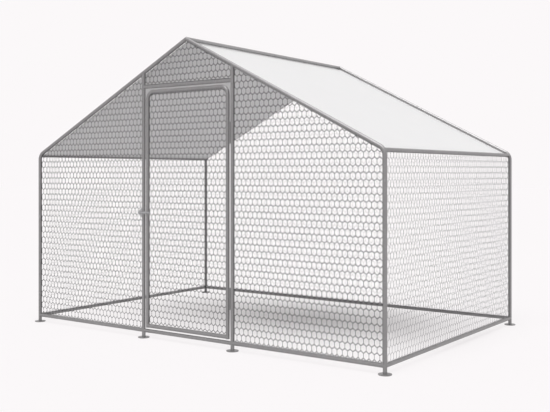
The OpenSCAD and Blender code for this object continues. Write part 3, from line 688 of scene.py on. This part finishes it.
class CoverShape:
    """The stretched cover's upper surface: two slopes that sag a little between ridge and eave."""

    def __init__(self, settings):
        low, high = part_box("roof_cover")
        self.settings = settings
        self.half, self.front, self.rear, self.top = high.x, low.y, high.y, high.z

    def at(self, x, y, above=0.0):
        """Place over (x, y), raised above the surface."""
        pitch = self.settings.pitch
        s = min(1.0, abs(x) / self.half)
        q = min(1.0, max(0.0, (y - self.front) / (self.rear - self.front)))
        belly = 4 * s * (1 - s) * math.sqrt(4 * q * (1 - q))
        along, down, both = PUCKER_WAVES
        pucker = PUCKER * (math.sin(along * q + down * s) * s + math.sin(both * q * s + PUCKER_START))
        dip = (self.settings.sag + pucker) * belly - above
        z = self.top - abs(x) * math.tan(pitch)
        on_ridge = abs(x) < 1e-6
        if on_ridge:
            return Vector((0.0, y, z - dip / math.cos(pitch)))
        return Vector((x - math.copysign(math.sin(pitch) * dip, x), y, z - math.cos(pitch) * dip))

    def upward(self, x):
        """Direction straight out of the slope at x."""
        pitch = self.settings.pitch
        return Vector((math.copysign(math.sin(pitch), x), 0.0, math.cos(pitch)))

    def add_slab(self, points, faces, xs, ys, low, high):
        """Adds a slab over a grid of places, between two levels; gives the numbers of its lower faces."""
        start, step = len(points), len(xs)
        layer = step * len(ys)
        for level in (high, low):
            points += [self.at(x, y, level) for y in ys for x in xs]
        lower = []
        for r in range(len(ys) - 1):
            for c in range(step - 1):
                p = start + r * step + c
                faces.append((p, p + 1, p + step + 1, p + step))
                lower.append(len(faces))
                faces.append((layer + p, layer + p + step, layer + p + step + 1, layer + p + 1))
        last = layer - step
        rim = ([(c, c + 1) for c in range(step - 1)]
               + [(r * step + step - 1, (r + 1) * step + step - 1) for r in range(len(ys) - 1)]
               + [(last + c + 1, last + c) for c in reversed(range(step - 1))]
               + [((r + 1) * step, r * step) for r in reversed(range(len(ys) - 1))])
        for p, q in rim:
            faces.append((start + q, start + p, start + layer + p, start + layer + q))
        return lower

    def eyelets(self):
        """Place on the cover, tube axis and tube direction of each eyelet."""
        pitch, spacing = self.settings.pitch, self.settings.eyelet_spacing
        inset = self.settings.hem_width / 2
        slope = self.half / math.cos(pitch)
        count = round(slope / spacing)
        found = []
        for side in (-1, 1):
            down = Vector((side * math.cos(pitch), 0.0, -math.sin(pitch)))
            for y, edge in ((-HALF_D, self.front + inset), (HALF_D, self.rear - inset)):
                for k in range(count):
                    s = slope * (k + FIRST_EYELET) / count
                    hub = Vector((0.0, y, RIDGE_Z)) + down * s
                    x = hub.x - side * math.sin(pitch) * TUBE_R
                    found.append((Vector((x, edge)), hub, down))
            rail = middle("eave_rail_right" if side > 0 else "eave_rail_left")
            long = self.rear - self.front
            count_y = round(long / spacing)
            for k in range(count_y):
                y = self.front + long * (k + 0.5) / count_y
                found.append((Vector((side * (self.half - inset * math.cos(pitch)), y)),
                              Vector((rail.x, y, rail.z)), Vector((0.0, 1.0, 0.0))))
        return found


# Operators

class CHICKENRUN_OT_stage(bpy.types.Operator):
    """Makes the floor, the soft light and the camera"""
    bl_idname = "chicken_run.stage"
    bl_label = "Stage"

    def floor(self, scene, settings):
        """A pale floor that keeps the shadow, lightened by the backdrop's colour; how far is painted by
        place, so the shadow stays deep under the run and is painted lighter further off.
        """
        look = Surface("floor", settings.backdrop, roughness=0.9, metallic=0.0)
        look.shader.inputs["Specular IOR Level"].default_value = 0.0
        look.colour_from(look.shades(look.noise(scale=0.6), settings.backdrop, spread=0.003))
        tree = look.tree
        glow = look.add("ShaderNodeEmission", {"Color": (*settings.backdrop, 1.0), "Strength": 1.0})
        # Painted shade: an oval mask on the floor keeps the shadow deepest at the shade middle and lifts it
        # further off
        painted_shade_oval = {"Vector": look.place, "Location": (*settings.shade_middle, 0.0),
                "Scale": (*settings.shade_reach, 1.0)}
        spot = look.add("ShaderNodeMapping", painted_shade_oval, vector_type="TEXTURE")
        painted_shade_mask = look.add("ShaderNodeTexGradient", {"Vector": spot.outputs[0]}, gradient_type="SPHERICAL")
        deep, far = settings.shade_lift
        lift = look.add("ShaderNodeMapRange", {"Value": painted_shade_mask.outputs["Fac"], "To Min": far, "To Max": deep},
                        interpolation_type="SMOOTHSTEP")
        share = look.add("ShaderNodeMath", {0: seen_rays(tree), 1: lift.outputs[0]}, operation="MULTIPLY")
        mix = look.add("ShaderNodeMixShader", {0: share.outputs[0]})
        tree.links.new(look.shader.outputs[0], mix.inputs[1])
        tree.links.new(glow.outputs[0], mix.inputs[2])
        tree.links.new(mix.outputs[0], tree.nodes["Material Output"].inputs["Surface"])
        reach = 60.0
        mesh = bpy.data.meshes.new("floor")
        corners = [(-reach, -reach, 0), (reach, -reach, 0), (reach, reach, 0), (-reach, reach, 0)]
        mesh.from_pydata(corners, [], [(0, 1, 2, 3)])
        mesh.materials.append(look.material)
        floor = bpy.data.objects.new("floor", mesh)
        scene.collection.objects.link(floor)

    def light(self, scene, settings):
        """Even light from all round, the pale backdrop, and a broad soft sun."""
        scene.world = bpy.data.worlds.new("studio")
        scene.world.use_nodes = True
        tree = scene.world.node_tree
        tree.nodes.clear()
        mix = tree.nodes.new("ShaderNodeMixShader")
        tree.links.new(seen_rays(tree), mix.inputs[0])
        for slot, colour, strength in ((1, (1.0, 1.0, 1.0), settings.sky), (2, settings.backdrop, 1.0)):
            shell = tree.nodes.new("ShaderNodeBackground")
            shell.inputs["Color"].default_value = (*colour, 1.0)
            shell.inputs["Strength"].default_value = strength
            tree.links.new(shell.outputs[0], mix.inputs[slot])
        out = tree.nodes.new("ShaderNodeOutputWorld")
        tree.links.new(mix.outputs[0], out.inputs["Surface"])
        sun = bpy.data.lights.new("soft_sun", "SUN")
        sun.energy = settings.sun
        sun.angle = settings.sun_size
        lamp = bpy.data.objects.new("soft_sun", sun)
        lamp.rotation_euler = (settings.sun_lean, settings.sun_side, 0.0)
        scene.collection.objects.link(lamp)

    def camera(self, scene, settings):
        """A level camera at the front right corner."""
        lens = bpy.data.cameras.new("camera")
        lens.sensor_width = 36.0
        lens.lens = settings.lens
        lens.shift_x = settings.slide
        lens.shift_y = settings.rise
        lens.clip_end = 200.0
        eye = bpy.data.objects.new("camera", lens)
        eye.location = settings.camera_place
        eye.rotation_euler = (math.pi / 2, 0.0, settings.camera_turn)
        scene.collection.objects.link(eye)
        scene.camera = eye

    def execute(self, context):
        scene, settings = context.scene, context.scene.run_stage
        scene.view_settings.view_transform = "Standard"
        self.floor(scene, settings)
        self.light(scene, settings)
        self.camera(scene, settings)
        return {"FINISHED"}


class CHICKENRUN_OT_tubes(bpy.types.Operator):
    """Gives the tubes, feet, hinges, latch and screws their finish, and the roof tubes a lighter copy that
    paints light on them
    """
    bl_idname = "chicken_run.tubes"
    bl_label = "Tubes and hardware"

    def execute(self, context):
        settings = context.scene.run_tubes
        zinc = zinc_plated("zinc_hardware", settings.zinc_colour)
        # The roof tubes take the lighter copy of the galvanised look, which paints light on them
        roof = galvanised("roof_tube_painted_light", settings.painted_light_roof_colour)
        looks = {"galvanised_tube": galvanised("galvanised_tube", settings.colour), "zinc_hardware": zinc}
        own_looks = dict.fromkeys(LATCH, zinc) | dict.fromkeys(PAINTED_LIGHT_TUBES, roof)
        for part in frame["record"]["subparts"]:
            look = own_looks.get(part["node"], looks.get(part["material_slot"]))
            if look:
                mesh = frame["nodes"][part["node"]].data
                mesh.materials.clear()
                mesh.materials.append(look)
        return {"FINISHED"}


class CHICKENRUN_OT_welds(bpy.types.Operator):
    """Lays the weld beads of the hinges, the bolt guide and the keeper"""
    bl_idname = "chicken_run.welds"
    bl_label = "Welds"

    def execute(self, context):
        settings = context.scene.run_tubes
        look = galvanised("weld", settings.weld_colour, roughness=(0.45, 0.6))
        stray = random.Random(WELD_SEED)
        low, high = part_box("door_frame")
        axis_x = {"post": middle("foot_door_right").x, "door": high.x - TUBE_R}
        beads = {"frame": ([], []), "door": ([], [])}

        out = (settings.hinge_pad + settings.bead) / 2
        for node in HINGES:
            low_end, high_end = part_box(node)
            on_post = node.startswith("post")
            x = axis_x["post" if on_post else "door"]
            x += math.sqrt(TUBE_R ** 2 - out ** 2) * (-1 if on_post else 1)
            for side in (-1, 1):
                levels = (low_end.z + SEAM_MARGIN, high_end.z - SEAM_MARGIN)
                path = [(x, side * out - HALF_D, z) for z in levels]
                add_bead(*beads["frame" if on_post else "door"], path, settings.bead, stray)

        stile, z = low.x + TUBE_R, middle("latch_guide").z
        lean = math.asin(settings.latch_pad / 2 / TUBE_R)
        for side in (-1, 1):
            level = z + side * settings.latch_pad / 2
            path = [(stile + TUBE_R * math.sin(a), -HALF_D - TUBE_R * math.cos(a), level)
                    for a in grid(-lean, lean, ARC_STEPS)]
            add_bead(*beads["door"], path, settings.bead, stray)
            x, y = path[0 if side < 0 else -1][:2]
            path = [(x, y, z - settings.latch_pad / 2), (x, y, z + settings.latch_pad / 2)]
            add_bead(*beads["door"], path, settings.bead, stray)

        low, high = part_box("latch_keeper")
        tall = high.z - low.z
        seams = ((settings.bead * OUTER_SEAM_LIFT, TUBE_R, tall * OUTER_SEAM_SHARE),
                 (-TUBE_R * INNER_SEAM_BACK, TUBE_R * INNER_SEAM_DEPTH, tall * INNER_SEAM_SHARE))
        for shift, depth, reach in seams:
            x, y = high.x + shift, -HALF_D - depth
            add_bead(*beads["frame"], [(x, y, z - reach), (x, y, z + reach)], settings.bead, stray)

        for body, (points, faces) in beads.items():
            add_piece("welds_" + body, points, faces, [look], body)
        return {"FINISHED"}


class CHICKENRUN_OT_netting(bpy.types.Operator):
    """Weaves the hexagonal netting of every wall and of the door"""
    bl_idname = "chicken_run.netting"
    bl_label = "Netting"

    def execute(self, context):
        scene = context.scene
        settings = scene.run_netting
        look = netting_wire("netting_wire", settings.colour)
        wires = {"net_front_left": settings.front_left_wire, "net_right": settings.right_wire,
                 "net_left": settings.left_wire, "net_rear": settings.rear_wire}
        for seed, (node, panel) in enumerate(panels(scene.run_tubes, scene.run_cover).items()):
            wire = wires.get(node, settings.front_wire)
            rings = REAR_TWIST_RINGS if node == "net_rear" else TWIST_RINGS
            points, faces = hexagon_netting(panel, settings, *wire, rings, seed)
            body = "door" if node in DOOR_NODES else "frame"
            piece = add_piece("wire_" + node, points, faces, [look], body)
            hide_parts(node)
        return {"FINISHED"}


class CHICKENRUN_OT_net_ties(bpy.types.Operator):
    """Ties the edges of the netting to the tubes"""
    bl_idname = "chicken_run.net_ties"
    bl_label = "Netting ties"

    def blocked(self, spot):
        """Whether a hinge or the latch is in the way."""
        for node in HINGES + LATCH:
            low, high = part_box(node)
            if all(low[k] - TIE_ROOM[k] < spot[k] < high[k] + TIE_ROOM[k] for k in range(3)):
                return True
        return False

    def execute(self, context):
        scene = context.scene
        settings = scene.run_netting
        look = zinc_plated("tie_wire", scene.run_tubes.zinc_colour)
        stray = random.Random(TIE_SEED)
        ties = {"frame": ([], []), "door": ([], [])}
        seat = TUBE_R + NET_GAP + settings.selvedge_inset
        for node, panel in panels(scene.run_tubes, scene.run_cover).items():
            inner = panel.inset(settings.selvedge_inset)
            for (u, v), (du, dv), (nu, nv), length in inner.edges():
                if length < SHORTEST_TIED_EDGE:
                    continue
                along = Vector(panel.at(u + du, v + dv)) - Vector(panel.at(u, v))
                count = max(1, round(length / settings.tie_spacing))
                for k in range(count):
                    s = length * (k + 0.5) / count + stray.uniform(-TIE_STRAY, TIE_STRAY)
                    held = Vector(panel.at(u + du * s, v + dv * s))
                    hub = Vector(panel.at(u + du * s - nu * seat, v + dv * s - nv * seat))
                    at_eave = panel.u.y and nv < -0.5
                    if at_eave:
                        rail = middle("eave_rail_left" if hub.x < 0 else "eave_rail_right")
                        hub.x, hub.z = rail.x, rail.z
                    while self.blocked(hub):
                        held, hub = held + along * TIE_SIDESTEP, hub + along * TIE_SIDESTEP
                    add_tie(*ties["door" if node in DOOR_NODES else "frame"], hub, along, held,
                            NET_TIE_BEND, panel.inside, settings)
        for body, (points, faces) in ties.items():
            add_piece("net_ties_" + body, points, faces, [look], body)
        return {"FINISHED"}


class CHICKENRUN_OT_cover(bpy.types.Operator):
    """Stretches the hemmed roof cover under the ridge and between the rafters"""
    bl_idname = "chicken_run.cover"
    bl_label = "Roof cover"

    def hem(self, shape, settings, look):
        """The doubled edge along the rafters and the eaves."""
        points, faces = [], []
        wide = settings.hem_width
        inner = shape.half - wide * math.cos(settings.pitch)
        outer = shape.half - HEM_EAVE_GAP
        for side in (-1, 1):
            slope = sorted(side * x for x in grid(HEM_RIDGE_GAP, outer, HEM_SLOPE_STEPS))
            for start in (shape.front, shape.rear - wide):
                ys = grid(start, start + wide, HEM_WIDTH_STEPS)
                shape.add_slab(points, faces, slope, ys, -HEM_SINK, settings.hem_thickness)
            eave = sorted(side * x for x in grid(inner, outer, HEM_WIDTH_STEPS))
            ys = grid(shape.front + wide, shape.rear - wide, HEM_EAVE_STEPS)
            shape.add_slab(points, faces, eave, ys, -HEM_SINK, settings.hem_thickness)
        return add_piece("cover_hem", points, faces, [look], "frame")

    def eyelets(self, shape, settings, look):
        """Pressed eyelets, one rim above and one below at each place."""
        points, faces = [], []
        hole, rim = settings.eyelet_hole, settings.eyelet_rim
        wall, crown, lip = 0.0007, 0.0011, 0.0005
        profile = ((hole, 0.0), (hole, wall), ((hole + rim) / 2, crown), (rim, lip), (rim, 0.0))
        sides = 18
        for place, _, _ in shape.eyelets():
            up = shape.upward(place.x)
            east = Vector((0.0, 1.0, 0.0)).cross(up)
            north = up.cross(east)
            for face, level in ((1, settings.hem_thickness), (-1, -settings.thickness)):
                centre = shape.at(place.x, place.y, level)
                start = len(points)
                for k in range(sides):
                    a = face * 2 * math.pi * k / sides
                    out = east * math.cos(a) + north * math.sin(a)
                    points += [centre + out * r + up * (h * face) for r, h in profile]
                size = len(profile)
                for k in range(sides):
                    here, there = start + k * size, start + (k + 1) % sides * size
                    for p in range(size):
                        q = (p + 1) % size
                        faces.append((here + p, here + q, there + q, there + p))
        return add_piece("cover_eyelets", points, faces, [look], "frame")

    def execute(self, context):
        settings = context.scene.run_cover
        shape = CoverShape(settings)
        upper = coated_cloth("roof_cloth", settings.colour)
        # The underside takes the darker copy of the cloth, which is painted shade
        underside_painted_shade = coated_cloth("roof_underside_painted_shade", settings.underside_painted_shade)
        points, faces = [], []
        across, along = COVER_STEPS
        xs = grid(-shape.half, shape.half, across)
        ys = grid(shape.front, shape.rear, along)
        under = shape.add_slab(points, faces, xs, ys, -settings.thickness, 0.0)
        cloth = add_piece("roof_cloth", points, faces, [upper, underside_painted_shade], "frame", under)
        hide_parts("roof_cover")
        zinc = zinc_plated("eyelet", context.scene.run_tubes.zinc_colour)
        trim = [self.hem(shape, settings, upper), self.eyelets(shape, settings, zinc)]
        return {"FINISHED"}


class CHICKENRUN_OT_cover_ties(bpy.types.Operator):
    """Ties the cover's eyelets to the rafters and the eave rails"""
    bl_idname = "chicken_run.cover_ties"
    bl_label = "Cover ties"

    def execute(self, context):
        scene = context.scene
        shape = CoverShape(scene.run_cover)
        look = zinc_plated("cover_tie_wire", scene.run_tubes.zinc_colour)
        points, faces = [], []
        for place, hub, along in shape.eyelets():
            held = shape.at(place.x, place.y, -scene.run_cover.thickness / 2)
            tail = -shape.upward(place.x)
            add_tie(points, faces, hub, along, held, COVER_TIE_BEND, tail, scene.run_netting)
        add_piece("cover_ties", points, faces, [look], "frame")
        return {"FINISHED"}


# Panel

class CHICKENRUN_PT_panel(bpy.types.Panel):
    """Steps that dress the run"""
    bl_idname = "CHICKENRUN_PT_panel"
    bl_label = "Chicken Run"
    bl_space_type = "VIEW_3D"
    bl_region_type = "UI"
    bl_category = "Chicken Run"

    def draw(self, context):
        for operator in OPERATORS:
            self.layout.operator(operator.bl_idname)


SETTINGS = {
    "run_netting": NettingSettings,
    "run_cover": CoverSettings,
    "run_tubes": TubeSettings,
    "run_stage": StageSettings,
}
OPERATORS = (
    CHICKENRUN_OT_stage,
    CHICKENRUN_OT_tubes,
    CHICKENRUN_OT_welds,
    CHICKENRUN_OT_netting,
    CHICKENRUN_OT_net_ties,
    CHICKENRUN_OT_cover,
    CHICKENRUN_OT_cover_ties,
)
CLASSES = (*SETTINGS.values(), *OPERATORS, CHICKENRUN_PT_panel)


def register():
    """Registers the classes and puts their settings on the scene."""
    for cls in CLASSES:
        bpy.utils.register_class(cls)
    for name, cls in SETTINGS.items():
        setattr(bpy.types.Scene, name, PointerProperty(type=cls))


def unregister():
    """Takes the settings and the classes away again."""
    for name in SETTINGS:
        delattr(bpy.types.Scene, name)
    for cls in reversed(CLASSES):
        bpy.utils.unregister_class(cls)


def main():
    """Dresses the run."""
    register()
    bpy.ops.chicken_run.stage()
    bpy.ops.chicken_run.tubes()
    bpy.ops.chicken_run.welds()
    bpy.ops.chicken_run.netting()
    bpy.ops.chicken_run.net_ties()
    bpy.ops.chicken_run.cover()
    bpy.ops.chicken_run.cover_ties()


if __name__ == "__main__":
    main()
